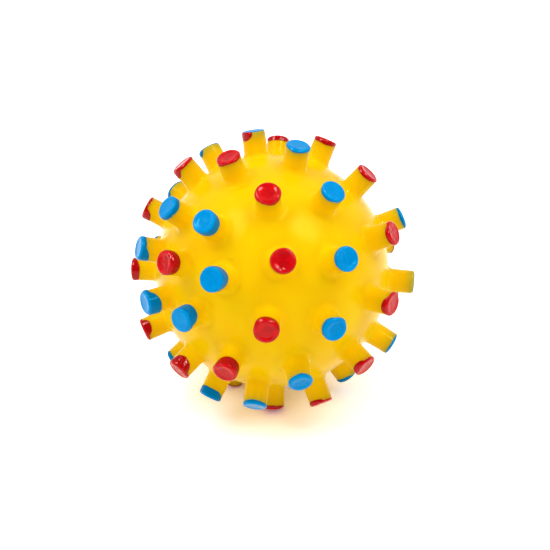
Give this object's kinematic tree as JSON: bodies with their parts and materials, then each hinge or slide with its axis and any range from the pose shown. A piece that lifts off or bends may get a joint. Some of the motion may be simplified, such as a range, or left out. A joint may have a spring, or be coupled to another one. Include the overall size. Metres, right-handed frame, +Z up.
{
  "type": "spiky squeaky ball",
  "caption": "Hollow soft vinyl ball covered with blunt round studs whose flat ends are painted red and blue, with a press-in reed squeaker.",
  "frame": {"origin": "on the floor, right under the centre of the ball as it rests on three of its studs", "axes": "+Z up, away from the floor; +Y away from the side that is seen first, +X to its right; the axis of the mould's stud rings leans 21 degrees above level, its painted pole towards -X and -Y"},
  "size_m": [0.0802, 0.0802, 0.0786],
  "materials": {
    "yellow_vinyl": "satin",
    "red_paint": "gloss",
    "blue_paint": "gloss",
    "squeaker_plastic": "satin",
    "reed_film": "satin"
  },
  "bodies": {
    "ball": {"ball_shell": "yellow_vinyl", "studs": "yellow_vinyl", "red_tips": "red_paint", "blue_tips": "blue_paint", "squeaker_housing": "squeaker_plastic", "reed_trough": "squeaker_plastic", "reed_clamp": "squeaker_plastic"},
    "reed": {"squeaker_reed": "reed_film"}
  },
  "joints": [
    {"name": "reed_flex", "type": "hinge", "parent": "ball", "child": "reed", "pos_m": [0.01569, 0.01423, 0.0307], "axis": [0.542, -0.1195, 0.8319], "range_deg": [-1, 4], "stiffness_Nm_per_rad": 0.0005}
  ]
}
